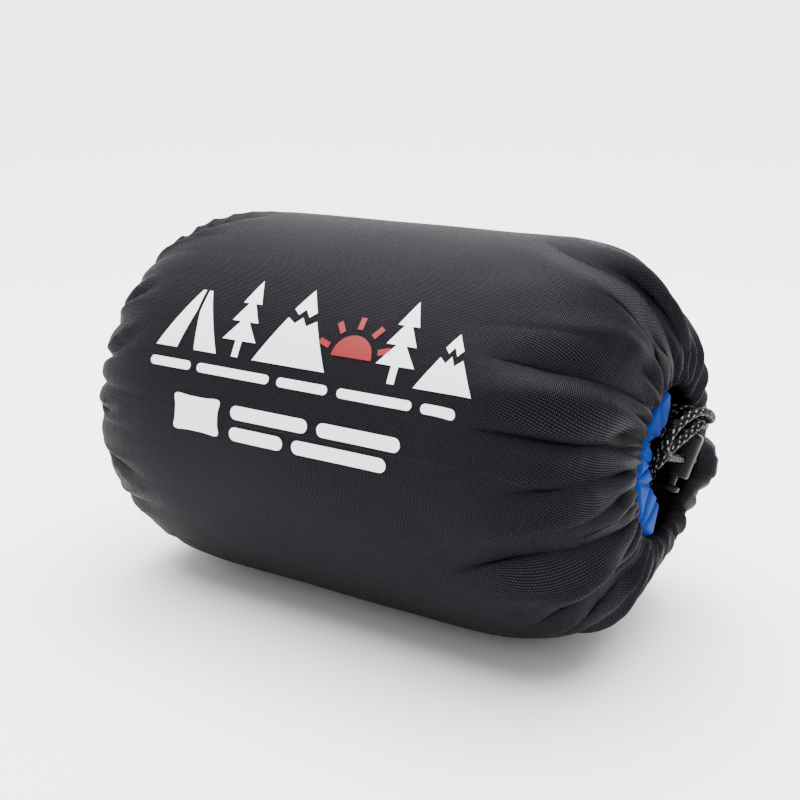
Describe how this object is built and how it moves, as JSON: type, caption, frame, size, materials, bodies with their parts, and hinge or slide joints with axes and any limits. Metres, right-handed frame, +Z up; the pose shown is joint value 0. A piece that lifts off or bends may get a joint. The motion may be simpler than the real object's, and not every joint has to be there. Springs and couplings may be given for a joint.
{
  "type": "camp pillow",
  "caption": "Camp pillow packed in a round drawstring stuff sack, with a gathered mouth, hem channel, braided drawcord and push-button cord lock.",
  "frame": {"origin": "on the ground, under the middle of the sack's length and width", "axes": "+X along the sack towards its drawn mouth, -Y out of the printed side, +Z up"},
  "size_m": [0.2366, 0.15, 0.1485],
  "materials": {
    "sack_cloth": "fine charcoal nylon weave with a soft sheen",
    "binding_tape": "matt woven tape",
    "pillow_shell": "smooth blue brushed polyester",
    "fibre_fill": "white polyester fibre",
    "braided_cord": "black braid with light flecks",
    "lock_plastic": "gloss black moulding",
    "spring_steel": "bright wire"
  },
  "bodies": {
    "sack": {"sack_tube": "sack_cloth", "sack_base": "sack_cloth", "base_binding": "binding_tape", "pillow_panel_front": "pillow_shell", "pillow_panel_back": "pillow_shell", "pillow_fill": "fibre_fill", "drawcord": "braided_cord", "cord_knot": "braided_cord"},
    "lock": {"cord_lock_body": "lock_plastic", "cord_lock_spring": "spring_steel"},
    "plunger": {"cord_lock_plunger": "lock_plastic"}
  },
  "joints": [
    {"name": "lock_slide", "type": "slide", "parent": "sack", "child": "lock", "axis": [-0.0747, 0.9367, -0.342], "range_m": [0, 0.004]},
    {"name": "button_press", "type": "slide", "parent": "lock", "child": "plunger", "axis": [0.2, 0.35, 0.9151], "range_m": [0, 0.003], "stiffness_N_per_m": 400, "springref_m": -0.004, "deforming": ["cord_lock_spring"]}
  ]
}
